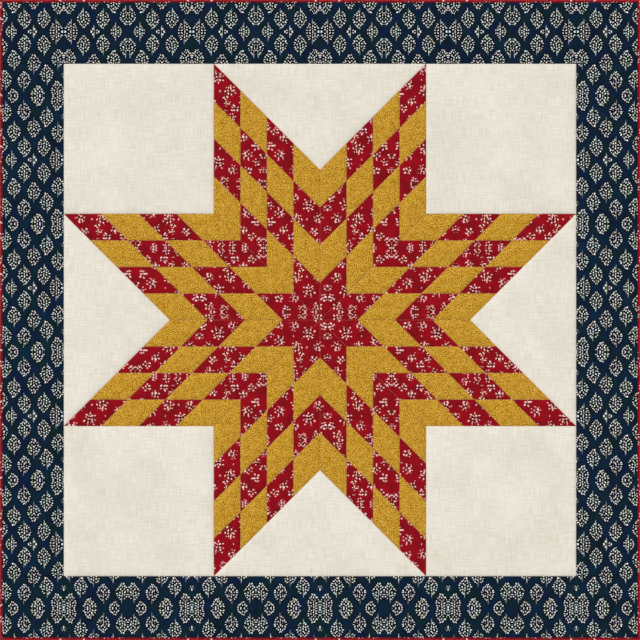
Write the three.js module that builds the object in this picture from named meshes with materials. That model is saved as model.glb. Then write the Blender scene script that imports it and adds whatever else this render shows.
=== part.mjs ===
// Star quilt blanket, lying flat on its back: a patchwork star of eight diamond-shaped points, plain corner
// squares and side triangles around it, a border of four strips and a folded binding round the edge.
// Millimetres. The origin is the middle of the underside, +Y is the top of the quilt and +Z is up.
import * as THREE from "three";
import { mergeVertices } from "three/addons/utils/BufferGeometryUtils.js";

// Driving sizes of the finished quilt
const QUILT = 1524;
const BORDER_WIDTH = 152.4;
const BINDING_WIDTH = 6.35;
const DIAMONDS_PER_SIDE = 4;
const POINTS_OF_STAR = 8;
const SIDES_OF_QUILT = 4;

// Padding: its full height between the seams, and where the top and the underside meet a seam
const CROWN = 7;
const SEAM_TOP = 3.2;
const SEAM_UNDERSIDE = 0.8;

// Gap left between two sewn pieces
const SEWING_GAP = 0.3;

// Top of the padding, by the distance in from a sewn seam
const TOP_FROM_SEAM = [
  { distance: 0, height: SEAM_TOP },
  { distance: 2.5, height: 4.6 },
  { distance: 8, height: 5.9 },
  { distance: 15, height: 6.6 },
  { distance: 35, height: CROWN },
];
// Underside of the padding, which lies flat except for a groove along each seam
const UNDERSIDE_FROM_SEAM = [
  { distance: 0, height: SEAM_UNDERSIDE },
  { distance: 8, height: 0 },
];

// Binding: a strip of cloth folded over the quilt's edge, which is pressed thin and rounded inside it
const BINDING_HEIGHT = 5;
const BINDING_CLOTH = 0.9;
const BINDING_LIP = 0.6;
const PRESSED_MIDDLE = BINDING_HEIGHT / 2;
const PRESSED_HALF = PRESSED_MIDDLE - BINDING_CLOTH - SEWING_GAP;
const PRESSED_TIP = 1.6;
const PRESSED_TIP_HALF = 0.8;
const PRESSED_END = BINDING_WIDTH + SEWING_GAP / 2;

// The border's two faces, by the distance in from the quilt's outer edge
const TOP_FROM_EDGE = [
  { distance: PRESSED_TIP, height: PRESSED_MIDDLE + PRESSED_TIP_HALF },
  { distance: PRESSED_MIDDLE, height: PRESSED_MIDDLE + PRESSED_HALF },
  { distance: PRESSED_END, height: PRESSED_MIDDLE + PRESSED_HALF },
  { distance: PRESSED_END + 2.5, height: 5.2 },
  { distance: PRESSED_END + 8, height: 6.2 },
  { distance: PRESSED_END + 15, height: 6.7 },
  { distance: PRESSED_END + 35, height: CROWN },
];
const UNDERSIDE_FROM_EDGE = [
  { distance: PRESSED_TIP, height: PRESSED_MIDDLE - PRESSED_TIP_HALF },
  { distance: PRESSED_MIDDLE, height: PRESSED_MIDDLE - PRESSED_HALF },
  { distance: PRESSED_END, height: PRESSED_MIDDLE - PRESSED_HALF },
  { distance: PRESSED_END + 8, height: 0 },
];

// How finely the long strips are divided along their length
const BORDER_STEP = 250;
const BINDING_STEPS = 6;
const BINDING_OUTER_STEPS = 6;
const BINDING_INNER_STEPS = 4;

// Sizes worked out from the driving ones
const HALF_QUILT = QUILT / 2;
const HALF_BLOCK = HALF_QUILT - BORDER_WIDTH;
const HALF_GAP = SEWING_GAP / 2;
const POINT_SIDE = (2 * HALF_BLOCK) / (2 + Math.SQRT2);
const POINT_ANGLE = (2 * Math.PI) / POINTS_OF_STAR;
const QUARTER_TURN = (2 * Math.PI) / SIDES_OF_QUILT;

const redPrint = new THREE.MeshStandardMaterial({ name: "red_print", color: 0x9a0f1a, roughness: 0.9 });
const creamCloth = new THREE.MeshStandardMaterial({ name: "cream_cloth", color: 0xe8e2d2, roughness: 0.9 });
const navyPrint = new THREE.MeshStandardMaterial({ name: "navy_print", color: 0x0f2742, roughness: 0.9 });

// Collects triangles by their corners, which are [x, y, z], and closes them into one mesh
class Surface {
  constructor() {
    this.positions = [];
  }

  triangle(a, b, c) {
    this.positions.push(...a, ...b, ...c);
  }

  quad(a, b, c, d) {
    this.triangle(a, b, c);
    this.triangle(a, c, d);
  }

  mesh(material) {
    const geometry = new THREE.BufferGeometry();
    geometry.setAttribute("position", new THREE.Float32BufferAttribute(this.positions, 3));
    const welded = mergeVertices(geometry);
    welded.computeVertexNormals();
    return new THREE.Mesh(welded, material);
  }
}

// Height at a distance in a table, on a straight run between its rows and level past its last one
function heightAt(table, distance) {
  const next = table.findIndex((row) => row.distance >= distance);
  if (next < 0) return table[table.length - 1].height;
  if (next === 0) return table[0].height;
  const [before, after] = [table[next - 1], table[next]];
  const share = (distance - before.distance) / (after.distance - before.distance);
  return THREE.MathUtils.lerp(before.height, after.height, share);
}

// Centre and radius of the circle that touches every side of a triangle, square or diamond
function incircle(corners) {
  const [a, b, c] = corners;
  if (corners.length > 3) {
    const centre = a.clone().lerp(c, 0.5);
    const side = b.clone().sub(a);
    return { centre, radius: side.cross(centre.clone().sub(a)) / side.length() };
  }
  const opposite = [b.distanceTo(c), c.distanceTo(a), a.distanceTo(b)];
  const around = opposite[0] + opposite[1] + opposite[2];
  const centre = new THREE.Vector2();
  corners.forEach((corner, index) => centre.addScaledVector(corner, opposite[index] / around));
  return { centre, radius: b.clone().sub(a).cross(c.clone().sub(a)) / around };
}

// The outline moved in by half the sewing gap. Its corners run counterclockwise.
function insideSeams(outline) {
  const { centre, radius } = incircle(outline);
  return outline.map((corner) => corner.clone().lerp(centre, HALF_GAP / radius));
}

// One face of a patch: rings parallel to its seams, one for each row of the table, and a point in the middle
function paddedFace(surface, corners, table, middleHeight, facesUp) {
  const { centre, radius } = incircle(corners);
  const add = facesUp
    ? (...loop) => surface.triangle(...loop)
    : (...loop) => surface.triangle(...loop.reverse());
  const rings = table
    .filter(({ distance }) => distance < radius)
    .map(({ distance, height }) =>
      corners.map((corner) => {
        const point = corner.clone().lerp(centre, distance / radius);
        return [point.x, point.y, height];
      }),
    );
  const middle = [centre.x, centre.y, middleHeight];
  corners.forEach((_, side) => {
    const next = (side + 1) % corners.length;
    for (let ring = 1; ring < rings.length; ring++) {
      const [outer, inner] = [rings[ring - 1], rings[ring]];
      add(outer[side], outer[next], inner[next]);
      add(outer[side], inner[next], inner[side]);
    }
    const last = rings[rings.length - 1];
    add(last[side], last[next], middle);
  });
}

function paddedPatch(surface, corners) {
  paddedFace(surface, corners, TOP_FROM_SEAM, CROWN, true);
  paddedFace(surface, corners, UNDERSIDE_FROM_SEAM, 0, false);
}

// The upright face in a seam, from one corner of a patch to the next
function seamWall(surface, from, to) {
  surface.quad(
    [from.x, from.y, SEAM_UNDERSIDE],
    [to.x, to.y, SEAM_UNDERSIDE],
    [to.x, to.y, SEAM_TOP],
    [from.x, from.y, SEAM_TOP],
  );
}

// A plain square or triangle of cloth, padded between its seams
function plainPanel(outline) {
  const corners = insideSeams(outline);
  const surface = new Surface();
  paddedPatch(surface, corners);
  corners.forEach((corner, side) => seamWall(surface, corner, corners[(side + 1) % corners.length]));
  return surface.mesh(creamCloth);
}

// A star point, from the middle of the quilt: small diamonds in rows, with a sewn channel along every seam
function starPoint() {
  const right = new THREE.Vector2(POINT_SIDE, 0);
  const left = right.clone().rotateAround(new THREE.Vector2(), POINT_ANGLE);
  const outline = [new THREE.Vector2(), right, right.clone().add(left), left];
  const [start, rightEnd, , leftEnd] = insideSeams(outline);
  const rowStep = rightEnd.sub(start).divideScalar(DIAMONDS_PER_SIDE);
  const columnStep = leftEnd.sub(start).divideScalar(DIAMONDS_PER_SIDE);
  const crossing = (row, column) =>
    start.clone().addScaledVector(rowStep, row).addScaledVector(columnStep, column);

  const surface = new Surface();
  const end = DIAMONDS_PER_SIDE;
  for (let row = 0; row < end; row++) {
    for (let column = 0; column < end; column++) {
      paddedPatch(surface, [
        crossing(row, column),
        crossing(row + 1, column),
        crossing(row + 1, column + 1),
        crossing(row, column + 1),
      ]);
    }
  }
  for (let step = 0; step < end; step++) {
    seamWall(surface, crossing(step, 0), crossing(step + 1, 0));
    seamWall(surface, crossing(end, step), crossing(end, step + 1));
    seamWall(surface, crossing(step + 1, end), crossing(step, end));
    seamWall(surface, crossing(0, step + 1), crossing(0, step));
  }
  return surface.mesh(redPrint);
}

// An end of a strip: where it lies, and whether it is sewn to its neighbour or bound at the quilt's edge
const sewnEnd = (at) => ({ at, top: TOP_FROM_SEAM, underside: UNDERSIDE_FROM_SEAM });
const boundEnd = (at) => ({ at, top: TOP_FROM_EDGE, underside: UNDERSIDE_FROM_EDGE });

// Stations from a strip's low end to its high end, close together near both
function stationsBetween(low, high) {
  const near = low.top.map(({ distance }) => low.at + distance);
  const far = high.top.map(({ distance }) => high.at - distance).reverse();
  const start = near[near.length - 1];
  const length = far[0] - start;
  const steps = Math.max(1, Math.round(length / BORDER_STEP));
  const middle = Array.from({ length: steps - 1 }, (_, step) => start + (length * (step + 1)) / steps);
  return [...near, ...middle, ...far];
}

// A border strip between its ends in x and in y. Its faces are the lower and the higher of the two ways'
// heights.
function borderStrip(left, right, bottom, top) {
  const across = stationsBetween(left, right);
  const up = stationsBetween(bottom, top);
  const heights = (x, y, face) => [
    heightAt(left[face], x - left.at),
    heightAt(right[face], right.at - x),
    heightAt(bottom[face], y - bottom.at),
    heightAt(top[face], top.at - y),
  ];
  const above = (i, j) => [across[i], up[j], Math.min(...heights(across[i], up[j], "top"))];
  const below = (i, j) => [across[i], up[j], Math.max(...heights(across[i], up[j], "underside"))];

  const surface = new Surface();
  const [lastI, lastJ] = [across.length - 1, up.length - 1];
  for (let i = 0; i < lastI; i++) {
    for (let j = 0; j < lastJ; j++) {
      surface.quad(above(i, j), above(i + 1, j), above(i + 1, j + 1), above(i, j + 1));
      surface.quad(below(i, j + 1), below(i + 1, j + 1), below(i + 1, j), below(i, j));
    }
    surface.quad(below(i, 0), below(i + 1, 0), above(i + 1, 0), above(i, 0));
    surface.quad(below(i + 1, lastJ), below(i, lastJ), above(i, lastJ), above(i + 1, lastJ));
  }
  for (let j = 0; j < lastJ; j++) {
    surface.quad(below(0, j + 1), below(0, j), above(0, j), above(0, j + 1));
    surface.quad(below(lastI, j), below(lastI, j + 1), above(lastI, j + 1), above(lastI, j));
  }
  return surface.mesh(navyPrint);
}

// Points round an arc about the middle of the binding's fold, as distance in from the edge and height
function foldArc(radius, from, to, steps) {
  return Array.from({ length: steps + 1 }, (_, step) => {
    const angle = from + ((to - from) * step) / steps;
    return {
      inward: PRESSED_MIDDLE + radius * Math.cos(angle),
      height: PRESSED_MIDDLE + radius * Math.sin(angle),
    };
  });
}

// The binding's section, open towards the middle of the quilt, counterclockwise from its lower edge
function bindingSection() {
  const inner = PRESSED_MIDDLE - BINDING_CLOTH;
  const [over, under] = [Math.PI / 2, (3 * Math.PI) / 2];
  const end = BINDING_WIDTH - HALF_GAP;
  return [
    { inward: end, height: 0 },
    { inward: end, height: PRESSED_MIDDLE - inner },
    ...foldArc(inner, under, over, BINDING_INNER_STEPS),
    { inward: end, height: PRESSED_MIDDLE + inner },
    { inward: end, height: BINDING_HEIGHT - BINDING_LIP / 2 },
    { inward: end - BINDING_LIP, height: BINDING_HEIGHT },
    ...foldArc(PRESSED_MIDDLE, over, under, BINDING_OUTER_STEPS),
  ];
}

// The binding along the quilt's top edge, its ends mitred to meet the lengths on either side
function bindingLength() {
  const section = bindingSection();
  const place = ({ inward, height }, step) => {
    const reach = HALF_QUILT - inward - HALF_GAP;
    return [THREE.MathUtils.lerp(-reach, reach, step / BINDING_STEPS), HALF_QUILT - inward, height];
  };
  const surface = new Surface();
  section.forEach((point, index) => {
    const next = section[(index + 1) % section.length];
    for (let step = 0; step < BINDING_STEPS; step++) {
      surface.quad(place(point, step), place(point, step + 1), place(next, step + 1), place(next, step));
    }
  });
  const outline = section.map(({ inward, height }) => new THREE.Vector2(inward, height));
  THREE.ShapeUtils.triangulateShape(outline, []).forEach((corners) => {
    const [a, b, c] = corners.map((index) => section[index]);
    surface.triangle(place(a, 0), place(b, 0), place(c, 0));
    surface.triangle(place(c, BINDING_STEPS), place(b, BINDING_STEPS), place(a, BINDING_STEPS));
  });
  return surface.mesh(redPrint);
}

const quilt = new THREE.Group();

function sew(name, piece, turn) {
  piece.name = name;
  piece.rotation.z = turn;
  quilt.add(piece);
}

for (let point = 0; point < POINTS_OF_STAR; point++) {
  sew(`star_point_${point + 1}`, starPoint(), point * POINT_ANGLE);
}

const SQUARE = [
  new THREE.Vector2(HALF_BLOCK - POINT_SIDE, HALF_BLOCK - POINT_SIDE),
  new THREE.Vector2(HALF_BLOCK, HALF_BLOCK - POINT_SIDE),
  new THREE.Vector2(HALF_BLOCK, HALF_BLOCK),
  new THREE.Vector2(HALF_BLOCK - POINT_SIDE, HALF_BLOCK),
];
const HALF_OPENING = HALF_BLOCK - POINT_SIDE;
const TRIANGLE = [
  new THREE.Vector2(HALF_OPENING, HALF_BLOCK),
  new THREE.Vector2(-HALF_OPENING, HALF_BLOCK),
  new THREE.Vector2(0, HALF_BLOCK - HALF_OPENING),
];
for (let side = 0; side < SIDES_OF_QUILT; side++) {
  sew(`corner_square_${side + 1}`, plainPanel(SQUARE), side * QUARTER_TURN);
  sew(`side_triangle_${side + 1}`, plainPanel(TRIANGLE), side * QUARTER_TURN);
}

// The top and bottom strips run the whole width, and the side strips are butted between them
const blockEdge = sewnEnd(HALF_BLOCK + HALF_GAP);
const buttedReach = HALF_BLOCK - HALF_GAP;
const acrossTop = () =>
  borderStrip(boundEnd(-HALF_QUILT), boundEnd(HALF_QUILT), blockEdge, boundEnd(HALF_QUILT));
const upTheSide = () =>
  borderStrip(sewnEnd(-buttedReach), sewnEnd(buttedReach), blockEdge, boundEnd(HALF_QUILT));
sew("border_top", acrossTop(), 0);
sew("border_left", upTheSide(), QUARTER_TURN);
sew("border_bottom", acrossTop(), 2 * QUARTER_TURN);
sew("border_right", upTheSide(), 3 * QUARTER_TURN);

["top", "left", "bottom", "right"].forEach((side, index) => {
  sew(`binding_${side}`, bindingLength(), index * QUARTER_TURN);
});

export default quilt;
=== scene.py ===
import math
from collections import namedtuple

import bmesh
import bpy
from mathutils import Matrix, Vector, noise


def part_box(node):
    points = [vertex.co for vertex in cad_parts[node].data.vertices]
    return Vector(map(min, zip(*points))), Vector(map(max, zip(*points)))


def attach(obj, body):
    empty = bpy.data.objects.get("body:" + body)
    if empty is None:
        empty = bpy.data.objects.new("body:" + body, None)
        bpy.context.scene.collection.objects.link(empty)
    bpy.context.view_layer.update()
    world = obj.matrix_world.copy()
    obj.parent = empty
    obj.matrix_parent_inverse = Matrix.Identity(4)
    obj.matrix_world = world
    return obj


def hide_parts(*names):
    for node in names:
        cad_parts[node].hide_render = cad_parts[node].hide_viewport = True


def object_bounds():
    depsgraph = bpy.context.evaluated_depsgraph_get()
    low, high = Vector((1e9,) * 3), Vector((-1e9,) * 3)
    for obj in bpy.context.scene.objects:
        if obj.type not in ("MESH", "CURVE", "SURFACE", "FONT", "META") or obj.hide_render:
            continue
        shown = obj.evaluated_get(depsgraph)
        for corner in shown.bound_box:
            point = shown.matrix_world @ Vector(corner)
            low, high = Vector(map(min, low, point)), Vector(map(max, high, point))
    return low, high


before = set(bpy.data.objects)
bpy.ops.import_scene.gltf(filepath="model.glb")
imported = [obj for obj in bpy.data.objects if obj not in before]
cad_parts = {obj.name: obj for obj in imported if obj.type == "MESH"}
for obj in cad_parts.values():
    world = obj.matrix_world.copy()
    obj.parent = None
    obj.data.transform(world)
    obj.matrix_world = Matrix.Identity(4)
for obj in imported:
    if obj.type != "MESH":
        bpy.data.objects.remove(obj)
cad_low, cad_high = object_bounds()

MM = 0.001

# Sizes read from the frame
HALF_QUILT = cad_high.x
CROWN = cad_high.z
HALF_BLOCK = (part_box("corner_square_1")[1].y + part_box("border_top")[0].y) / 2
POINT_SIDE = 2 * HALF_BLOCK / (2 + math.sqrt(2))
HALF_OPENING = HALF_BLOCK - POINT_SIDE
BINDING_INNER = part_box("binding_top")[0].y
BINDING_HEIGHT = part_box("binding_top")[1].z

# How the star is pieced
POINTS_OF_STAR = 8
DIAMONDS_PER_SIDE = 4
POINT_ANGLE = 2 * math.pi / POINTS_OF_STAR
QUARTER_TURN = math.pi / 2
SIDES = ("top", "left", "bottom", "right")

# Padding: heights at a seam, and how quickly the cloth rises from it
SEAM_TOP = 3.2 * MM
SEAM_UNDERSIDE = 0.8 * MM
PATCH_BASE = 1.35 * MM
RISE_LENGTH = 6.5 * MM
RISE_POWER = 0.9
HALF_GAP = 0.1 * MM

# Tolerances: for making near points one, and for telling that a point is past a seam or past the rounding
WELD_DISTANCE = 0.02 * MM
PAST_SEAM = 0.01 * MM
PAST_ROUNDING = 0.3 * MM

# Unevenness of the cloth: small puckers beside a seam, and the loft of the wadding between seams
PUCKER_HEIGHT = 0.7 * MM
PUCKER_LENGTH = 11 * MM
LOFT_HEIGHT = 0.45 * MM
LOFT_LENGTH = 70 * MM

# Edge of the quilt, pressed thin inside the binding
PRESSED_MIDDLE = BINDING_HEIGHT / 2
PRESSED_TOP = 3.8 * MM
PRESSED_TIP_TOP = 3.3 * MM
PRESSED_TIP = 1.6 * MM
PRESSED_ROUND = 2.5 * MM
BINDING_CLOTH = 0.9 * MM

# Cells along the sides of each kind of piece
DIAMOND_CELLS = 26
SQUARE_CELLS = 64
TRIANGLE_CELLS = 40
BORDER_CELLS_ACROSS = 30
BORDER_CELLS_PER_METRE = 190
BINDING_CELLS = 380
BACKING_CELLS = 290

# The printed cloths repeat by mirroring a square of this size, from a mirror line in each direction
REPEAT = 152.4 * MM
RED_MIRROR = Vector((17.9 * MM, 19.0 * MM))
NAVY_MIRROR = Vector((-HALF_QUILT, HALF_QUILT - 1.5 * REPEAT))


def turned(point, angle):
    return Vector(point).to_2d() @ Matrix.Rotation(-angle, 2)


# Surfaces

Seam = namedtuple("Seam", "start inward lowest")


def seams_of(outline, bound_sides=()):
    """The seam lines along an outline's sides. Its corners run counterclockwise. Bound sides lie under the
    binding."""
    pressed_share = (PRESSED_TOP - SEAM_TOP) / (CROWN - SEAM_TOP)
    seams = []
    for side, start in enumerate(outline):
        along = (outline[(side + 1) % len(outline)] - start).normalized()
        lowest = pressed_share if side in bound_sides else 0.0
        seams.append(Seam(start, Vector((-along.y, along.x)), lowest))
    return seams


def rise(distance):
    """Share of the padding's full height at a distance in from a seam."""
    return 1 - math.exp(-((max(distance, 0.0) / RISE_LENGTH) ** RISE_POWER))


def unevenness(point, share):
    """Puckers are deepest half way up the rise from a seam, and loft grows with the padding."""
    pucker = noise.noise(Vector((point.x, point.y, 0)) / PUCKER_LENGTH)
    loft = noise.noise(Vector((point.x, point.y, LOFT_LENGTH)) / LOFT_LENGTH)
    return 4 * share * (1 - share) * PUCKER_HEIGHT * pucker + share * LOFT_HEIGHT * loft


def top_height(point, seams):
    """Height of the padded top at a point. Under the binding it is pressed flat, and thinner at its tip."""
    share = 1.0
    for start, inward, lowest in seams:
        distance = (point - start).dot(inward)
        if lowest and distance < -PAST_SEAM:
            tip = distance < -(HALF_QUILT - PRESSED_ROUND - BINDING_INNER) - PAST_ROUNDING
            return PRESSED_TIP_TOP if tip else PRESSED_TOP
        share *= lowest + (1 - lowest) * rise(distance)
    return SEAM_TOP + (CROWN - SEAM_TOP) * share + unevenness(point, share)


def graded(cells, low_end=True, high_end=True):
    """Steps from 0 to 1, closer together at the ends that meet a seam."""
    crowding = 0.6
    turn = 2 * math.pi if low_end and high_end else math.pi
    return [step / cells - crowding * math.sin(turn * step / cells) / turn for step in range(cells + 1)]


Sheet = namedtuple("Sheet", "corners across up map_corners")


def between(corners, s, t):
    """The point at shares s and t of the way across and up a four-cornered sheet."""
    low = corners[0].lerp(corners[1], s)
    high = corners[3].lerp(corners[2], s)
    return low.lerp(high, t)


def add_sheet(mesh, maps, sheet, height, flat_map):
    """Adds a sheet's faces to a mesh, with a height for each point. flat_map gives each face's corners
    their places on the map that its looks are stored on."""
    rows = []
    for t in sheet.up:
        row = []
        for s in sheet.across:
            point = between(sheet.corners, s, t)
            row.append(mesh.verts.new((point.x, point.y, height(point))))
        rows.append(row)
    cloth_map, stored_map = maps
    for j in range(len(sheet.up) - 1):
        for i in range(len(sheet.across) - 1):
            face = mesh.faces.new((rows[j][i], rows[j][i + 1], rows[j + 1][i + 1], rows[j + 1][i]))
            face.smooth = True
            middle = (sheet.across[i] + sheet.across[i + 1]) / 2
            for loop, (di, dj) in zip(face.loops, ((0, 0), (1, 0), (1, 1), (0, 1))):
                loop[cloth_map].uv = loop.vert.co.xy
                loop[stored_map].uv = flat_map(sheet, sheet.across[i + di], sheet.up[j + dj], middle)


# The map that looks are stored on. Its lowest band is kept for the sides and underside, which hardly show
# and fill part of it, and there is a margin round each area.
HIDDEN_BAND = 0.04
HIDDEN_WIDTH = 0.9
HIDDEN_START = 0.1
HIDDEN_HEIGHT = 0.6
MAP_MARGIN = 0.01


def whole_map(sheet, s, t, _middle):
    place = between(sheet.map_corners, s, t)
    span = 1 - HIDDEN_BAND - 2 * MAP_MARGIN
    return (MAP_MARGIN + (1 - 2 * MAP_MARGIN) * place.x, HIDDEN_BAND + MAP_MARGIN + span * place.y)


def stacked_map(rows):
    """A map for a long strip: cut into rows that are stored one above another."""
    def place(_sheet, s, t, middle):
        row = min(rows - 1, int(middle * rows))
        band = (1 - HIDDEN_BAND) / rows
        u = MAP_MARGIN + (1 - 2 * MAP_MARGIN) * (s * rows - row)
        return (u, HIDDEN_BAND + band * (row + MAP_MARGIN * 2 + (1 - 4 * MAP_MARGIN) * t))
    return place


UNIT = [Vector((0, 0)), Vector((1, 0)), Vector((1, 1)), Vector((0, 1))]


def close_below(mesh, maps, base):
    """Drops an upright side from the open edge, and closes it underneath."""
    cloth_map, stored_map = maps
    rim = [edge for edge in mesh.edges if edge.is_boundary]
    dropped = bmesh.ops.extrude_edge_only(mesh, edges=rim)["geom"]
    low_edges = [item for item in dropped if isinstance(item, bmesh.types.BMEdge) and item.is_boundary]
    for vert in {vert for edge in low_edges for vert in edge.verts}:
        vert.co.z = base
    under = bmesh.ops.contextual_create(mesh, geom=low_edges)["faces"]
    sides = [item for item in dropped if isinstance(item, bmesh.types.BMFace)]
    for face in sides + list(under):
        face.smooth = False
        for loop in face.loops:
            loop[cloth_map].uv = loop.vert.co.xy
            across = (loop.vert.co.x / HALF_QUILT + 1) / 2
            up = (loop.vert.co.y / HALF_QUILT + 1) / 2
            band_share = HIDDEN_START + HIDDEN_HEIGHT * up
            loop[stored_map].uv = (MAP_MARGIN + HIDDEN_WIDTH * across, HIDDEN_BAND * band_share)


Cloth = namedtuple("Cloth", "material slot")


def placed(name, data, cloth):
    """A piece of the quilt, made of this cloth and riding on its one body."""
    data.materials.append(cloth.material)
    piece = bpy.data.objects.new(name, data)
    bpy.context.scene.collection.objects.link(piece)
    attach(piece, "root")
    return piece


def mesh_piece(name, mesh, cloth):
    data = bpy.data.meshes.new(name)
    mesh.to_mesh(data)
    mesh.free()
    return placed(name, data, cloth)


def new_mesh():
    mesh = bmesh.new()
    return mesh, (mesh.loops.layers.uv.new("Cloth"), mesh.loops.layers.uv.new("OFBake"))


def padded_piece(name, node, sheets, seams, flat_map, cloth):
    """A padded piece of the quilt's top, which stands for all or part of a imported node."""
    mesh, maps = new_mesh()
    for sheet in sheets:
        add_sheet(mesh, maps, sheet, lambda point: top_height(point, seams), flat_map)
    bmesh.ops.remove_doubles(mesh, verts=mesh.verts, dist=WELD_DISTANCE)
    close_below(mesh, maps, PATCH_BASE)
    bmesh.ops.recalc_face_normals(mesh, faces=mesh.faces)
    piece = mesh_piece(name, mesh, cloth)
    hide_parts(node)
    return piece


def drawn_in(outline):
    """The outline moved in from its seams by half the gap between pieces."""
    corners = []
    for index, corner in enumerate(outline):
        to_next = (outline[(index + 1) % len(outline)] - corner).normalized()
        to_last = (outline[index - 1] - corner).normalized()
        corners.append(corner + (to_next + to_last) * HALF_GAP / abs(to_next.cross(to_last)))
    return corners


# Pieces of the quilt

def star_diamonds(red, gold):
    """Small diamonds of the star, red and gold by turns out from the middle."""
    pieces = []
    steps = graded(DIAMOND_CELLS)
    for point in range(POINTS_OF_STAR):
        right = turned((POINT_SIDE / DIAMONDS_PER_SIDE, 0), point * POINT_ANGLE)
        left = turned((POINT_SIDE / DIAMONDS_PER_SIDE, 0), (point + 1) * POINT_ANGLE)
        for row in range(DIAMONDS_PER_SIDE):
            for column in range(DIAMONDS_PER_SIDE):
                start = right * row + left * column
                corners = [start, start + right, start + right + left, start + left]
                sheet = Sheet(drawn_in(corners), steps, steps, UNIT)
                name = f"diamond_{point + 1}_{row + 1}_{column + 1}"
                node = f"star_point_{point + 1}"
                cloth = red if (row + column) % 2 == 0 else gold
                pieces.append(padded_piece(name, node, [sheet], seams_of(corners), whole_map, cloth))
    return pieces


def corner_squares(cream):
    steps = graded(SQUARE_CELLS)
    pieces = []
    low, high = HALF_OPENING, HALF_BLOCK
    square = ((low, low), (high, low), (high, high), (low, high))
    for index in range(4):
        corners = [turned(corner, index * QUARTER_TURN) for corner in square]
        sheet = Sheet(drawn_in(corners), steps, steps, UNIT)
        name, node = f"plain_square_{index + 1}", f"corner_square_{index + 1}"
        pieces.append(padded_piece(name, node, [sheet], seams_of(corners), whole_map, cream))
    return pieces


def side_triangles(cream):
    """Plain triangles, each made as three sheets that meet in the middle of its inscribed circle. A sheet
    has one corner, and reaches to where the circle touches the sides next to it."""
    steps = graded(TRIANGLE_CELLS, high_end=False)
    pieces = []
    triangle = ((HALF_OPENING, HALF_BLOCK), (-HALF_OPENING, HALF_BLOCK), (0, HALF_BLOCK - HALF_OPENING))
    for index in range(4):
        corners = [turned(corner, index * QUARTER_TURN) for corner in triangle]
        inner = drawn_in(corners)
        sides = [(inner[(n + 1) % 3] - inner[n]).length for n in range(3)]
        around = sum(sides)
        middle = sum((inner[n] * sides[(n + 1) % 3] for n in range(3)), Vector((0, 0))) / around
        flat = [Vector((1, 0)), Vector((0, 1)), Vector((0, 0))]
        flat_middle = sum((flat[n] * sides[(n + 1) % 3] for n in range(3)), Vector((0, 0))) / around
        sheets = []
        for n in range(3):
            last, following = (n - 1) % 3, (n + 1) % 3
            reach = around / 2 - sides[following]
            ahead, behind = reach / sides[n], reach / sides[last]
            outlines = []
            for points, centre in ((inner, middle), (flat, flat_middle)):
                on_next_side = points[n].lerp(points[following], ahead)
                on_last_side = points[n].lerp(points[last], behind)
                outlines.append([points[n], on_next_side, centre, on_last_side])
            sheets.append(Sheet(outlines[0], steps, steps, outlines[1]))
        name, node = f"plain_triangle_{index + 1}", f"side_triangle_{index + 1}"
        pieces.append(padded_piece(name, node, sheets, seams_of(corners), whole_map, cream))
    return pieces


def with_pressed_edge(steps, length, at_low, at_high):
    """Steps along a strip whose bound ends go on under the binding, as shares of its whole length."""
    under = HALF_QUILT - PRESSED_TIP - BINDING_INNER
    rounded = HALF_QUILT - PRESSED_ROUND - BINDING_INNER
    low, high = (under if at_low else 0), (under if at_high else 0)
    places = [low + step * (length - low - high) for step in steps]
    if at_low:
        places = [0, under - rounded] + places
    if at_high:
        places = places + [length - under + rounded, length]
    return [place / length for place in places]


def strip_corners(half_length, low, high):
    return ((-half_length, low), (half_length, low), (half_length, high), (-half_length, high))


def borders(navy):
    """Four strips: the top and bottom ones run the whole width, the side ones are butted between them."""
    pieces = []
    map_rows = 3
    low, high = HALF_BLOCK + HALF_GAP, HALF_QUILT - PRESSED_TIP
    across = with_pressed_edge(graded(BORDER_CELLS_ACROSS), high - low, False, True)
    for index, side in enumerate(SIDES):
        full_width = index % 2 == 0
        half_length = high if full_width else HALF_BLOCK - HALF_GAP
        half_seam = BINDING_INNER if full_width else HALF_BLOCK
        bound_sides = (1, 2, 3) if full_width else (2,)
        cells = round(2 * half_length * BORDER_CELLS_PER_METRE)
        along = with_pressed_edge(graded(cells), 2 * half_length, full_width, full_width)
        angle = index * QUARTER_TURN
        outline = [turned(corner, angle) for corner in strip_corners(half_length, low, high)]
        seam_corners = strip_corners(half_seam, HALF_BLOCK, BINDING_INNER)
        seam_outline = [turned(corner, angle) for corner in seam_corners]
        sheet = Sheet(outline, along, across, UNIT)
        seams = seams_of(seam_outline, bound_sides)
        name, node = f"printed_border_{side}", f"border_{side}"
        pieces.append(padded_piece(name, node, [sheet], seams, stacked_map(map_rows), navy))
    return pieces


def fold_arc(radius, start, end, steps):
    angles = [start + (end - start) * step / steps for step in range(steps + 1)]
    return [(PRESSED_MIDDLE + radius * math.cos(a), PRESSED_MIDDLE + radius * math.sin(a)) for a in angles]


def binding_section():
    """The folded strip's section, from its lower inner edge round: distance in from the quilt's edge and
    height."""
    inner = PRESSED_MIDDLE - BINDING_CLOTH
    end = HALF_QUILT - BINDING_INNER
    over, under = QUARTER_TURN, 3 * QUARTER_TURN
    lip = 0.3 * MM
    swell = 0.15 * MM
    inner_steps, outer_steps = 6, 12
    return (
        [(end, lip), (end, PRESSED_MIDDLE - inner)]
        + fold_arc(inner, under, over, inner_steps)
        + [(end, PRESSED_MIDDLE + inner), (end, BINDING_HEIGHT - 2 * lip)]
        + [(end - lip, BINDING_HEIGHT - lip), (end - 3 * lip, BINDING_HEIGHT)]
        + [((end + PRESSED_MIDDLE) / 2, BINDING_HEIGHT + swell)]
        + fold_arc(PRESSED_MIDDLE, over, under, outer_steps)
        + [(end - 2 * lip, 0.0)]
    )


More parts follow.
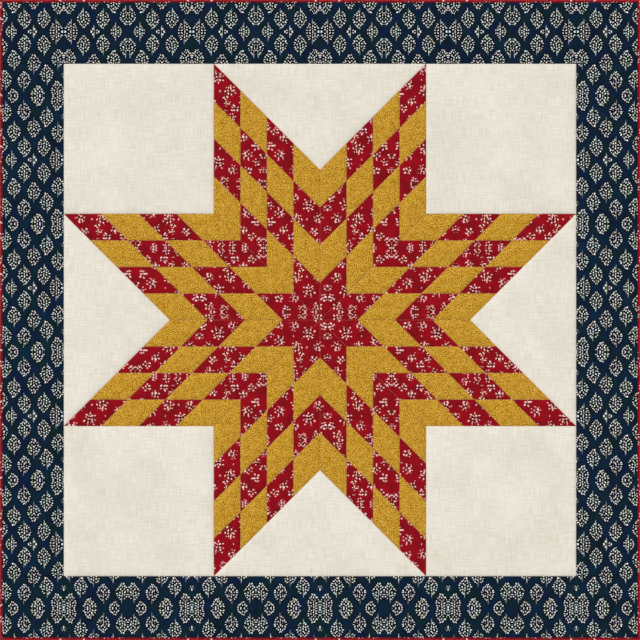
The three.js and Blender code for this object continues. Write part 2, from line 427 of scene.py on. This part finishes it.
# Where on the red print the outer edge of each binding strip was cut, from the middle of the quilt
BINDING_CUTS = (HALF_QUILT - 95 * MM, HALF_QUILT + 24 * MM, HALF_QUILT - 133 * MM, HALF_QUILT - 24 * MM)

# Small ripples in the binding's face
RIPPLE_HEIGHT = 0.12 * MM
RIPPLE_LENGTH = 9 * MM
RIPPLE_WIDTH = 4 * MM

# The binding's stored map: rows one above another, and one spot for its hidden ends
BINDING_MAP_ROWS = 8
ROW_MARGIN = 0.06
END_SPOT = (0.001, 0.001)


def binding_ring(section, share, index):
    """The section's points at a share of the way along one side's binding. Its ends are mitred."""
    ring = []
    for inward, height in section:
        reach = HALF_QUILT - inward - HALF_GAP
        along = reach * (2 * share - 1)
        if height > PRESSED_MIDDLE:
            spot = Vector((along / RIPPLE_LENGTH, index, inward / RIPPLE_WIDTH))
            height += RIPPLE_HEIGHT * noise.noise(spot)
        place = turned((along, HALF_QUILT - inward), index * QUARTER_TURN)
        ring.append((place.x, place.y, height))
    return ring


def bindings(red):
    """Four lengths of folded binding, mitred at the corners. The print is laid out as on the flat strip."""
    section = binding_section()
    laid_out = [0.0]
    for (u0, z0), (u1, z1) in zip(section, section[1:] + section[:1]):
        laid_out.append(laid_out[-1] + math.hypot(u1 - u0, z1 - z0))
    pieces = []
    rows = BINDING_MAP_ROWS
    for index, (side, cut_at) in enumerate(zip(SIDES, BINDING_CUTS)):
        mesh, maps = new_mesh()
        cloth_map, stored_map = maps
        rings = []
        for cell in range(BINDING_CELLS + 1):
            ring = binding_ring(section, cell / BINDING_CELLS, index)
            rings.append([mesh.verts.new(point) for point in ring])
        for cell in range(BINDING_CELLS):
            row = min(rows - 1, cell * rows // BINDING_CELLS)
            here, ahead_of = rings[cell], rings[cell + 1]
            for n in range(len(section)):
                following = (n + 1) % len(section)
                face = mesh.faces.new((here[n], ahead_of[n], ahead_of[following], here[following]))
                face.smooth = True
                for loop, (ahead, round_ahead) in zip(face.loops, ((0, 0), (1, 0), (1, 1), (0, 1))):
                    strip = laid_out[n + round_ahead]
                    along = HALF_QUILT * (2 * (cell + ahead) / BINDING_CELLS - 1)
                    loop[cloth_map].uv = turned((along, cut_at - strip), index * QUARTER_TURN)
                    u = (cell + ahead) * rows / BINDING_CELLS - row
                    v = (row + ROW_MARGIN + (1 - 2 * ROW_MARGIN) * strip / laid_out[-1]) / rows
                    loop[stored_map].uv = (MAP_MARGIN + (1 - 2 * MAP_MARGIN) * u, v)
        for end_ring in (rings[0], rings[-1]):
            face = mesh.faces.new(end_ring)
            for loop in face.loops:
                loop[cloth_map].uv = loop.vert.co.xy
                loop[stored_map].uv = END_SPOT
        bmesh.ops.recalc_face_normals(mesh, faces=mesh.faces)
        piece = mesh_piece(f"folded_binding_{side}", mesh, red)
        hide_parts(f"binding_{side}")
        pieces.append(piece)
    return pieces


# Backing

def seam_distance(point):
    """Distance from a point of the quilt to the nearest stitched seam."""
    to_block = abs(abs(point.y) - HALF_BLOCK)
    if abs(point.y) < HALF_BLOCK:
        to_block = min(to_block, abs(abs(point.x) - HALF_BLOCK))
    if max(abs(point.x), abs(point.y)) > HALF_BLOCK:
        return to_block
    angle = math.atan2(point.y, point.x) % (2 * math.pi)
    local = turned(point, -int(angle / POINT_ANGLE) * POINT_ANGLE)
    strip = math.sin(POINT_ANGLE) * POINT_SIDE
    b = local.y / strip
    a = (local.x - local.y) / POINT_SIDE
    if a <= 1 and b <= 1:
        n = DIAMONDS_PER_SIDE
        off = min(abs(a * n - round(a * n)), abs(b * n - round(b * n))) / n
        return min(off * strip, to_block)
    return min(max((a - 1) * strip, (b - 1) * strip), to_block)


def backing(cream):
    """One whole cloth under the quilt. Its underside lies flat, with a groove along each stitched seam."""
    drawn_up = 6.0 * MM
    slope = 7.5 * MM
    edge = HALF_QUILT - PRESSED_TIP
    pressed = 1.0 * MM
    clearance = 0.05 * MM

    def easing(distance):
        return (1 + math.cos(math.pi * min(max(distance / slope, 0), 1))) / 2

    def height(point):
        bound = BINDING_INNER - max(abs(point.x), abs(point.y))
        return max(SEAM_UNDERSIDE * easing(seam_distance(point) - drawn_up), pressed * easing(bound))

    steps = [step / BACKING_CELLS for step in range(BACKING_CELLS + 1)]
    corners = [Vector(c) for c in ((-edge, -edge), (edge, -edge), (edge, edge), (-edge, edge))]
    mesh, maps = new_mesh()
    add_sheet(mesh, maps, Sheet(corners, steps, steps, UNIT), height, whole_map)
    close_below(mesh, maps, PATCH_BASE - clearance)
    bmesh.ops.recalc_face_normals(mesh, faces=mesh.faces)
    return mesh_piece("backing", mesh, cream)


# Stitches

STITCH_LENGTH = 3.1 * MM
STITCH_PITCH = 3.9 * MM
THREAD_RADIUS = 0.19 * MM

# Share of a stitch over which each end tapers, and how far its tips dip, in radii of the thread
STITCH_TAPER = 0.22
TIP_DIP = 0.8

# Heights of the thread's middle on the quilt's face and on its back
FACE_THREAD = SEAM_TOP + 0.15 * MM
BACK_THREAD = SEAM_UNDERSIDE - 0.25 * MM


def seam_lines():
    """Every stitched seam of the pieced block, once: round and across the star, and round the block."""
    lines = []
    for point in range(POINTS_OF_STAR):
        right = turned((POINT_SIDE, 0), point * POINT_ANGLE)
        left = turned((POINT_SIDE, 0), (point + 1) * POINT_ANGLE)
        for step in range(DIAMONDS_PER_SIDE + 1):
            across = left * step / DIAMONDS_PER_SIDE
            lines.append((across, across + right))
        for step in range(1, DIAMONDS_PER_SIDE + 1):
            out = right * step / DIAMONDS_PER_SIDE
            lines.append((out, out + left))
    for side in range(4):
        along = [(-HALF_BLOCK, HALF_BLOCK), (HALF_BLOCK, HALF_BLOCK)]
        lines.append(tuple(turned(end, side * QUARTER_TURN) for end in along))
    return lines


def border_end_lines():
    """The short seams where the side borders are butted against the top and bottom ones."""
    lines = []
    for x in (-1, 1):
        for y in (-HALF_BLOCK, HALF_BLOCK):
            lines.append((Vector((x * HALF_BLOCK, y)), Vector((x * BINDING_INNER, y))))
    return lines


def add_stitch(points, faces, start, end, height):
    """A short thread with tapered ends, four sides round."""
    along = (end - start).normalized()
    side = Vector((-along.y, along.x, 0)) * THREAD_RADIUS
    up = Vector((0, 0, THREAD_RADIUS))
    first = len(points)
    points.append(Vector((start.x, start.y, height)) - up * TIP_DIP)
    for share in (STITCH_TAPER, 1 - STITCH_TAPER):
        middle = start.lerp(end, share)
        centre = Vector((middle.x, middle.y, height))
        points.extend((centre + side, centre + up, centre - side, centre - up))
    points.append(Vector((end.x, end.y, height)) - up * TIP_DIP)
    for n in range(4):
        m = (n + 1) % 4
        faces.append((first, first + 1 + m, first + 1 + n))
        faces.append((first + 1 + n, first + 1 + m, first + 5 + m, first + 5 + n))
        faces.append((first + 9, first + 5 + n, first + 5 + m))


def stitching(name, lines, height, thread):
    points, faces = [], []
    for start, end in lines:
        length = (end - start).length
        count = int((length - STITCH_PITCH) / STITCH_PITCH)
        spare = (length - count * STITCH_PITCH) / 2
        along = (end - start) / length
        for n in range(count):
            begin = start + along * (spare + n * STITCH_PITCH)
            add_stitch(points, faces, begin, begin + along * STITCH_LENGTH, height)
    data = bpy.data.meshes.new(name)
    data.from_pydata(points, [], faces)
    data.shade_smooth()
    return placed(name, data, thread)


# Materials

class Shading:
    """A material's nodes, added and joined by short calls."""

    def __init__(self, name):
        self.name = name
        self.material = bpy.data.materials.new(name)
        self.material.use_nodes = True
        self.tree = self.material.node_tree
        self.surface = self.tree.nodes["Principled BSDF"]
        self.cloth = self.node("UVMap", uv_map="Cloth").outputs["UV"]

    def join(self, value, socket):
        if isinstance(value, bpy.types.NodeSocket):
            self.tree.links.new(value, socket)
        else:
            socket.default_value = value

    def node(self, kind, *values, **settings):
        made = self.tree.nodes.new("ShaderNode" + kind)
        for key, value in settings.items():
            setattr(made, key, value)
        for value, socket in zip(values, made.inputs):
            self.join(value, socket)
        return made

    def math(self, operation, *values):
        return self.node("Math", *values, operation=operation).outputs[0]

    def vector(self, operation, *values):
        made = self.node("VectorMath", *values, operation=operation)
        scalar = operation in ("LENGTH", "DISTANCE")
        return made.outputs["Value" if scalar else "Vector"]

    def scaled(self, vector, amount):
        made = self.node("VectorMath", vector, operation="SCALE")
        made.inputs["Scale"].default_value = amount
        return made.outputs["Vector"]

    def choose(self, share, low, high):
        """low where share is 0 and high where it is 1, for two vectors."""
        made = self.node("Mix", data_type="VECTOR")
        self.join(share, made.inputs["Factor"])
        self.join(low, made.inputs[4])
        self.join(high, made.inputs[5])
        return made.outputs[1]

    def blend(self, share, low, high):
        """A colour mixed from two."""
        made = self.node("Mix", data_type="RGBA")
        self.join(share, made.inputs["Factor"])
        self.join(low, made.inputs["A"])
        self.join(high, made.inputs["B"])
        return made.outputs[2]

    def mixed(self, share, first, second):
        """The first value, at its share, with the second one making up the rest."""
        rest = self.math("MULTIPLY", second, 1 - share)
        return self.math("MULTIPLY_ADD", first, share, rest)

    def between(self, value, low, high, to_low=0.0, to_high=1.0):
        return self.node("MapRange", value, low, high, to_low, to_high).outputs[0]

    def noise(self, size, detail=2.0, stretch=(1, 1, 1), where=None, roughness=0.5):
        """Noise whose features are about this size, in the units of the place where it is read."""
        place = self.vector("MULTIPLY", self.cloth if where is None else where, stretch)
        made = self.node("TexNoise")
        self.join(place, made.inputs["Vector"])
        made.inputs["Scale"].default_value = 1 / size
        made.inputs["Detail"].default_value = detail
        made.inputs["Roughness"].default_value = roughness
        return made

    def ramp(self, value, *stops):
        made = self.node("ValToRGB", value)
        elements = made.color_ramp.elements
        while len(elements) < len(stops):
            elements.new(0.5)
        for element, (position, colour) in zip(elements, stops):
            element.position = position
            element.color = colour
        return made.outputs[0]


def colour(hex_code):
    """A linear colour from a screen colour such as "c9982a"."""
    channels = [int(hex_code[n:n + 2], 16) / 255 for n in (0, 2, 4)]
    return (*[c / 12.92 if c <= 0.04045 else ((c + 0.055) / 1.055) ** 2.4 for c in channels], 1.0)


# Plain weave: the pitch of its threads, how deep its bump is, and how far the painted shade and highlight
# along its threads darken and lighten the cloth
THREAD_PITCH = 0.9 * MM
WEAVE_DEPTH = 0.12 * MM
BUMP_STRENGTH = 0.6
WEAVE_PAINTED_SHADING = 0.03

# Slubs, the thicker stretches of yarn: their size, their stretch, the range of both ways' noise together,
# and how far they change tone, gloss and height
SLUB_SIZE = 9 * MM
SLUB_STRETCH = 14
SLUB_RANGE = (0.6, 1.4)
SLUB_TONE = 0.05
SLUB_GLOSS = 0.06
SLUB_HEIGHT = 2.0

COTTON_ROUGHNESS = 0.88
COTTON_SPECULAR = 0.08


def finish_cloth(shading, base):
    """Gives a cloth its plain weave, as a bump with shade and highlight painted along it, its slubs and
    matt surface.
    """
    x, y, _ = shading.node("SeparateXYZ", shading.cloth).outputs
    turn = 2 * math.pi / THREAD_PITCH
    weft = shading.math("SINE", shading.math("MULTIPLY", x, turn))
    warp = shading.math("SINE", shading.math("MULTIPLY", y, turn))
    weave = shading.math("MULTIPLY", weft, warp)
    slubs_across = shading.noise(SLUB_SIZE, 1, (1, SLUB_STRETCH, 1)).outputs[0]
    slubs_up = shading.noise(SLUB_SIZE, 1, (SLUB_STRETCH, 1, 1)).outputs[0]
    slubs = shading.math("ADD", slubs_across, slubs_up)
    slub_light = shading.between(slubs, *SLUB_RANGE, 1 - SLUB_TONE, 1 + SLUB_TONE)
    # light is painted shade in the weave's hollows and painted highlight on its crossings, in step with its
    # bump, times the slubs' tone
    light = shading.math("MULTIPLY_ADD", weave, WEAVE_PAINTED_SHADING, slub_light)
    shaded = shading.vector("MULTIPLY", base, shading.node("CombineXYZ", light, light, light).outputs[0])
    shading.join(shaded, shading.surface.inputs["Base Color"])
    roughest, smoothest = COTTON_ROUGHNESS + SLUB_GLOSS, COTTON_ROUGHNESS - SLUB_GLOSS
    roughness = shading.between(slubs, *SLUB_RANGE, roughest, smoothest)
    shading.join(roughness, shading.surface.inputs["Roughness"])
    height = shading.math("ADD", weave, shading.math("MULTIPLY", slubs, SLUB_HEIGHT))
    bump = shading.node("Bump")
    bump.inputs["Strength"].default_value = BUMP_STRENGTH
    bump.inputs["Distance"].default_value = WEAVE_DEPTH
    shading.join(height, bump.inputs["Height"])
    shading.join(bump.outputs[0], shading.surface.inputs["Normal"])
    shading.surface.inputs["Specular IOR Level"].default_value = COTTON_SPECULAR
    return Cloth(shading.material, shading.name)


def cream_cloth():
    """Undyed cotton with uneven yarns, which show as short streaks both ways."""
    shading = Shading("cream_cloth")
    broad = shading.noise(120 * MM, 2).outputs[0]
    across = shading.noise(36 * MM, 3, (1, 13, 1)).outputs[0]
    up = shading.noise(36 * MM, 3, (13, 1, 1)).outputs[0]
    yarns = shading.mixed(0.5, across, up)
    mixed = shading.mixed(0.25, broad, yarns)
    base = shading.ramp(mixed, (0.38, colour("dfd8c6")), (0.5, colour("ebe4d6")), (0.62, colour("f6f0e5")))
    return finish_cloth(shading, base)


def gold_cloth():
    """Mottled gold: fine blotches of lighter and darker dye."""
    shading = Shading("gold_cloth")
    fine = shading.noise(2.6 * MM, 1, roughness=0.6).outputs[0]
    coarse = shading.noise(14 * MM, 2).outputs[0]
    cast = shading.noise(6 * MM, 1).outputs[1]
    mixed = shading.mixed(0.83, fine, coarse)
    base = shading.ramp(
        mixed,
        (0.37, colour("7c4d02")),
        (0.45, colour("b78214")),
        (0.53, colour("cc9a28")),
        (0.63, colour("ebc05c")),
    )
    spread, least = (0.3, 0.3, 0.3), (0.85, 0.85, 0.85)
    tinted = shading.vector("MULTIPLY_ADD", cast, spread, least)
    return finish_cloth(shading, shading.vector("MULTIPLY", base, tinted))


def thread(name, dark, light):
    shading = Shading(name)
    shading.tree.nodes.remove(shading.cloth.node)
    place = shading.node("TexCoord").outputs["Object"]
    twist = shading.noise(1.5 * MM, 1, where=place).outputs[0]
    base = shading.ramp(twist, (0.3, colour(dark)), (0.7, colour(light)))
    shading.join(base, shading.surface.inputs["Base Color"])
    shading.surface.inputs["Roughness"].default_value = 0.7
    shading.surface.inputs["Specular IOR Level"].default_value = 0.2
    return Cloth(shading.material, "cream_cloth")


# Printed patterns, in millimetres. A sprig's place is in from the mirror lines, its turn in whole degrees.

Sprig = namedtuple("Sprig", "across up turn size")
Leaf = namedtuple("Leaf", "across up turn")

NAVY_SPRIGS = [
    Sprig(32, -5, 3, 23), Sprig(90, 4, 357, 23), Sprig(137, 13, 2, 23), Sprig(13, 39, 4, 23),
    Sprig(58, 37, 358, 23), Sprig(112, 52, 3, 23), Sprig(81, 77, 1, 22), Sprig(34, 86, 2, 23),
    Sprig(139, 89, 358, 23), Sprig(4, 116, 3, 20), Sprig(59, 123, 357, 23), Sprig(105, 122, 3, 23),
    Sprig(135, 149, 358, 22), Sprig(28, 157, 2, 21), Sprig(79, 164, 4, 22), Sprig(152, 47, 0, 7),
    Sprig(152, 0, 0, 11), Sprig(103, 0, 40, 5),
]
NAVY_NARROWING = 1.32

# A bushy upright sprig, with pairs of leaves round its outline
NAVY_LEAVES = [
    Leaf(-2.1, 19.8, 118), Leaf(2.3, 19.2, 60), Leaf(4.8, 15.4, 78), Leaf(8.6, 12.2, 18),
    Leaf(-4.8, 14.4, 104), Leaf(-8.8, 11.2, 162), Leaf(11.6, 6.8, 48), Leaf(14.0, 2.6, 348),
    Leaf(-11.8, 5.0, 132), Leaf(-13.8, 0.4, 190), Leaf(13.2, -4.8, 12), Leaf(10.8, -9.4, 322),
    Leaf(-12.0, -6.0, 172), Leaf(-10.4, -10.8, 218), Leaf(6.4, -14.0, 332), Leaf(-6.6, -14.8, 212),
    Leaf(3.0, -17.6, 292), Leaf(0.4, -9.8, 86), Leaf(5.6, -7.6, 35), Leaf(-5.4, -6.8, 140),
    Leaf(-6.6, 0.6, 128), Leaf(6.2, -1.2, 48), Leaf(-0.4, -3.4, 96), Leaf(-4.2, 7.0, 115),
    Leaf(4.4, 6.2, 66), Leaf(0.6, 12.4, 88), Leaf(0.2, 2.6, 80),
]
NAVY_LEAF_SIZE = (2.05, 1.13)
NAVY_STEM = (-19.5, 6.6, 0.6)

RED_SPRIGS = [
    Sprig(44, 50, 20, 17), Sprig(81, 34, 140, 12), Sprig(114, 68, 60, 13), Sprig(74, 84, 205, 14),
    Sprig(62, 98, 10, 7), Sprig(67, 113, 250, 8), Sprig(21, 81, 320, 12), Sprig(32, 114, 75, 10),
    Sprig(9, 34, 180, 9), Sprig(99, 6, 35, 10), Sprig(60, 7, 75, 11), Sprig(23, 13, 280, 11),
    Sprig(115, 32, 95, 10), Sprig(136, 52, 230, 9), Sprig(148, 33, 15, 7), Sprig(148, 66, 150, 6),
    Sprig(3, 58, 330, 7), Sprig(1, 108, 40, 8), Sprig(84, 125, 110, 10), Sprig(78, 146, 200, 9),
    Sprig(104, 109, 300, 10), Sprig(125, 125, 65, 10), Sprig(145, 137, 165, 10), Sprig(51, 142, 345, 9),
    Sprig(150, 151, 0, 9), Sprig(134, 90, 25, 11), Sprig(25, 141, 125, 11), Sprig(108, 149, 220, 8),
    Sprig(83, 58, 60, 3), Sprig(49, 85, 100, 3), Sprig(63, 130, 10, 3), Sprig(96, 99, 150, 3),
    Sprig(32, 2, 200, 7), Sprig(147, 2, 80, 10),
]

# A loose leafy sprig
RED_LEAVES = [
    Leaf(-2.6, 1.8, 140), Leaf(4.4, -1.4, 350), Leaf(1.2, 6.8, 80), Leaf(-7.6, 5.0, 150),
    Leaf(7.6, 5.4, 40), Leaf(-5.4, -6.0, 45), Leaf(3.2, -8.2, 290), Leaf(-2.8, 12.4, 105),
    Leaf(6.2, 12.2, 60), Leaf(13.2, 4.2, 15), Leaf(-13.6, 0.8, 175), Leaf(11.4, -7.2, 325),
    Leaf(-9.6, -11.0, 50), Leaf(4.8, -14.6, 290),
]
RED_LEAF_SIZE = (2.7, 1.62)
RED_STEM = (-4, 10, 0.7)


def in_repeat(shading, mirror):
    """Place in the mirrored repeat, in millimetres in from its mirror lines."""
    x, y, _ = shading.node("SeparateXYZ", shading.cloth).outputs
    places = []
    for value, line in ((x, mirror.x), (y, mirror.y)):
        moved = shading.math("SUBTRACT", value, line)
        folded = shading.math("PINGPONG", moved, REPEAT)
        places.append(shading.math("DIVIDE", folded, MM))
    return shading.node("CombineXYZ", *places).outputs[0]


# A sprig's turn and size travel with its place as one number: this many times the turn, plus the size.
TURN_STEP = 100.0


def nearest_sprig(shading, place, sprigs, narrowing):
    """Place relative to the nearest sprig and turned as it is, in millimetres, and how far it is from the
    sprig's middle, as a share of its size."""
    nearest = least = None
    for across, up, turn, size in sprigs:
        code = TURN_STEP * turn + size
        scale_across, scale_up = narrowing / size, 1 / size
        offset = (-across * scale_across, -up * scale_up, code)
        local = shading.vector("MULTIPLY_ADD", place, (scale_across, scale_up, 0), offset)
        far = shading.vector("DISTANCE", local, (0, 0, code))
        if nearest is None:
            nearest, least = local, far
            continue
        closer = shading.math("LESS_THAN", far, least)
        nearest = shading.choose(closer, nearest, local)
        least = shading.math("MINIMUM", far, least)
    x, y, code = shading.node("SeparateXYZ", nearest).outputs
    size = shading.math("MODULO", code, TURN_STEP)
    turn = shading.math("MULTIPLY", shading.math("SUBTRACT", code, size), math.radians(-1 / TURN_STEP))
    real_x = shading.math("MULTIPLY", x, shading.math("DIVIDE", size, narrowing))
    real_y = shading.math("MULTIPLY", y, size)
    made = shading.node("VectorRotate", rotation_type="Z_AXIS")
    shading.join(shading.node("CombineXYZ", real_x, real_y).outputs[0], made.inputs["Vector"])
    shading.join(turn, made.inputs["Angle"])
    return made.outputs[0], least


def leaf_value(shading, place, centre, turn, half_sizes):
    """0 in the middle of a leaf and 1 at its edge."""
    made = shading.node("Mapping", place, vector_type="TEXTURE")
    made.inputs["Location"].default_value = (*centre, 0)
    made.inputs["Rotation"].default_value = (0, 0, math.radians(turn))
    made.inputs["Scale"].default_value = (*half_sizes, 1)
    return shading.vector("LENGTH", made.outputs[0])


# A print's design. bend is how far noise shifts the leaves, and uneven how much it grows and shrinks them.
# The shadow keeps close round the leaves, and fades in from one share of a sprig's size to another. A leaf
# is rim_tone at its edge and, by noise, one of the leaf tones inside it. Noise also tints the leaves by
# patches, by as much as dye_spread up from dye_least.
Print = namedtuple("Print", (
    "mirror", "sprigs", "narrowing", "leaves", "leaf_size", "bend", "uneven", "stem", "stem_tone", "ground",
    "shadow", "shadow_fade", "shadow_share", "leaf_tones", "rim_tone", "dye_least", "dye_spread",
))

# Sizes, in millimetres, of the noise that bends the leaves, makes them uneven within its range, fades the
# stems, and varies the leaves' tone and dye
BEND_SIZE = 8.0
UNEVEN_SIZE = 5.5
UNEVEN_RANGE = (0.2, 0.8)
STEM_FADE_SIZE = 30.0
TONE_SIZE = 5.0
DYE_SIZE = 24.0

# Where each part of a sprig begins and is whole, as shares of the reach of the sprig, a leaf or the stem
SPRIG_EDGE = (1.06, 0.96)
LEAF_EDGE = (1.1, 0.9)
RIM = (0.55, 1.0)
STEM_EDGE = (1.3, 0.8)
STEM_END = (1.5, 1.3)
SHADOW_EDGE = (3.4, 2.2)

# Some leaves have a darker hollow in the middle: where it begins and is whole, the tones that have it, and
# how dark it is
HOLLOW_EDGE = (0.4, 0.1)
HOLLOW_TONES = (0.54, 0.64)
HOLLOW_SHARE = 0.7

# How faint noise makes a stem, and the noise at which it is faintest and whole
FAINTEST_STEM = 0.35
STEM_FADE = (0.42, 0.6)


def sprigged_cloth(name, design):
    shading = Shading(name)
    place = in_repeat(shading, design.mirror)
    local, within = nearest_sprig(shading, place, design.sprigs, design.narrowing)
    wobble = shading.noise(BEND_SIZE, 2, where=place, roughness=0.7).outputs[1]
    bend = shading.scaled(shading.vector("SUBTRACT", wobble, (0.5, 0.5, 0.5)), design.bend)
    bent = shading.vector("MULTIPLY", shading.vector("ADD", local, bend), (1, 1, 0))

    value = None
    for leaf in design.leaves:
        this = leaf_value(shading, bent, (leaf.across, leaf.up), leaf.turn, design.leaf_size)
        value = this if value is None else shading.math("MINIMUM", value, this)
    uneven = shading.noise(UNEVEN_SIZE, 1, where=place).outputs[0]
    swelling = shading.between(uneven, *UNEVEN_RANGE, -design.uneven, design.uneven)
    value = shading.math("ADD", value, swelling)
    inside = shading.between(within, *SPRIG_EDGE)
    leaf_share = shading.math("MULTIPLY", shading.between(value, *LEAF_EDGE), inside)
    stem_middle, stem_half_length, stem_half_width = design.stem
    stem_value = leaf_value(shading, local, (0, stem_middle), 90, (stem_half_length, stem_half_width))
    fading = shading.noise(STEM_FADE_SIZE, 1, where=place).outputs[0]
    faded = shading.between(fading, *STEM_FADE, FAINTEST_STEM, 1.0)
    stem_share = shading.math("MULTIPLY", shading.between(stem_value, *STEM_EDGE), faded)
    stem_share = shading.math("MULTIPLY", stem_share, shading.between(within, *STEM_END))

    tone = shading.noise(TONE_SIZE, 2, where=place).outputs[0]
    leaf_tone = shading.ramp(tone, *design.leaf_tones)
    leaf_tone = shading.blend(shading.between(value, *RIM), leaf_tone, design.rim_tone)
    hollow = shading.between(value, *HOLLOW_EDGE)
    hollow = shading.math("MULTIPLY", hollow, shading.between(tone, *HOLLOW_TONES))
    leaf_tone = shading.blend(shading.math("MULTIPLY", hollow, HOLLOW_SHARE), leaf_tone, design.shadow)
    cast = shading.noise(DYE_SIZE, 1, where=place).outputs[1]
    dye = shading.vector("MULTIPLY_ADD", cast, design.dye_spread, design.dye_least)
    leaf_tone = shading.vector("MULTIPLY", leaf_tone, dye)

    near_leaves = shading.between(value, *SHADOW_EDGE, 0.0, design.shadow_share)
    shadow_share = shading.math("MULTIPLY", shading.between(within, *design.shadow_fade), near_leaves)
    base = shading.blend(shadow_share, design.ground(shading), design.shadow)
    base = shading.blend(stem_share, base, design.stem_tone)
    base = shading.blend(leaf_share, base, leaf_tone)
    return finish_cloth(shading, base)


def navy_ground(shading):
    """Navy that leans to green and to violet by patches."""
    cast = shading.noise(30 * MM, 1).outputs[1]
    spread, least = (2.0, 1.4, 2.0), (0.0, 0.3, 0.0)
    tinted = shading.vector("MULTIPLY_ADD", cast, spread, least)
    return shading.vector("MULTIPLY", colour("0a2033")[:3], tinted)


def red_ground(shading):
    cast = shading.noise(30 * MM, 2).outputs[0]
    return shading.ramp(cast, (0.36, colour("800d16")), (0.5, colour("8e0a17")), (0.66, colour("9a0a18")))


def navy_print():
    leaf_tones = (
        (0.34, colour("ccc6aa")),
        (0.42, colour("f2f0e8")),
        (0.52, colour("faffff")),
        (0.66, colour("e6f2ec")),
    )
    return sprigged_cloth("navy_print", Print(
        mirror=NAVY_MIRROR,
        sprigs=NAVY_SPRIGS,
        narrowing=NAVY_NARROWING,
        leaves=NAVY_LEAVES,
        leaf_size=NAVY_LEAF_SIZE,
        bend=6.0,
        uneven=0.6,
        stem=NAVY_STEM,
        stem_tone=colour("ecf2ea"),
        ground=navy_ground,
        shadow=colour("0e0d0b"),
        shadow_fade=(1.15, 1.0),
        shadow_share=0.95,
        leaf_tones=leaf_tones,
        rim_tone=colour("e2eae6"),
        dye_least=(0.71, 0.74, 0.67),
        dye_spread=(0.6, 0.56, 0.74),
    ))


def red_print():
    leaf_tones = (
        (0.34, colour("ffb0aa")),
        (0.42, colour("ffd6d0")),
        (0.52, colour("fff4f4")),
        (0.68, colour("ffdcd6")),
    )
    return sprigged_cloth("red_print", Print(
        mirror=RED_MIRROR,
        sprigs=RED_SPRIGS,
        narrowing=1.0,
        leaves=RED_LEAVES,
        leaf_size=RED_LEAF_SIZE,
        bend=11.0,
        uneven=0.8,
        stem=RED_STEM,
        stem_tone=colour("5a2a20"),
        ground=red_ground,
        shadow=colour("46140e"),
        shadow_fade=(0.8, 0.3),
        shadow_share=0.65,
        leaf_tones=leaf_tones,
        rim_tone=colour("ffa098"),
        dye_least=(1.0, 0.7, 0.7),
        dye_spread=(0.0, 0.5, 0.45),
    ))


# Floor, light and camera

def floor():
    shading = Shading("pale_floor")
    shading.tree.nodes.remove(shading.cloth.node)
    place = shading.node("TexCoord").outputs["Object"]
    cast = shading.noise(0.8, 2, where=place).outputs[0]
    base = shading.ramp(cast, (0.3, colour("dcdad6")), (0.7, colour("e2e0dc")))
    shading.join(base, shading.surface.inputs["Base Color"])
    shading.surface.inputs["Roughness"].default_value = 0.9
    reach = 40
    data = bpy.data.meshes.new("floor")
    corners = ((-reach, -reach, 0), (reach, -reach, 0), (reach, reach, 0), (-reach, reach, 0))
    data.from_pydata(corners, [], [(0, 1, 2, 3)])
    data.materials.append(shading.material)
    surface = bpy.data.objects.new("floor", data)
    bpy.context.scene.collection.objects.link(surface)


def soft_sun(name, azimuth, elevation, strength, softness):
    """A soft studio light that falls evenly on the whole quilt. Azimuth 0 is from the top border's side."""
    data = bpy.data.lights.new(name, "SUN")
    data.energy = strength
    data.angle = math.radians(softness)
    light = bpy.data.objects.new(name, data)
    light.rotation_euler = (math.radians(90 - elevation), 0, math.radians(180 - azimuth))
    bpy.context.scene.collection.objects.link(light)


def lighting():
    world = bpy.data.worlds.new("studio")
    world.use_nodes = True
    background = world.node_tree.nodes["Background"]
    background.inputs["Color"].default_value = (1.0, 1.0, 1.0, 1.0)
    background.inputs["Strength"].default_value = 0.73
    bpy.context.scene.world = world
    soft_sun("key_light", azimuth=-40, elevation=33, strength=1.25, softness=25)
    soft_sun("fill_light", azimuth=130, elevation=55, strength=0.2, softness=40)
    bpy.context.scene.view_settings.view_transform = "Standard"


# How much of the binding's rounded edge the frame leaves out, so that no floor shows beside it
HIDDEN_EDGE = 0.5 * MM


def camera():
    """Straight above the quilt, far enough off with a long lens that the quilt just fills the frame."""
    data = bpy.data.cameras.new("camera")
    data.sensor_width = 36
    data.lens = 200
    seen_half = HALF_QUILT - HIDDEN_EDGE
    distance = seen_half * 2 * data.lens / data.sensor_width
    eye = bpy.data.objects.new("camera", data)
    eye.location = (0, 0, PRESSED_MIDDLE + distance)
    bpy.context.scene.collection.objects.link(eye)
    bpy.context.scene.camera = eye


camera()
lighting()
floor()

red, gold, cream, navy = red_print(), gold_cloth(), cream_cloth(), navy_print()
top_pieces = star_diamonds(red, gold) + corner_squares(cream) + side_triangles(cream) + borders(navy)
binding_pieces = bindings(red)
back_cloth = backing(cream)
tan_thread = thread("tan_thread", "dca48a", "f4ccb4")
navy_thread = thread("navy_thread", "101a33", "1c2a48")
stitches = [
    stitching("ditch_stitches", seam_lines(), FACE_THREAD, tan_thread),
    stitching("border_stitches", border_end_lines(), FACE_THREAD, navy_thread),
    stitching("back_stitches", seam_lines() + border_end_lines(), BACK_THREAD, tan_thread),
]
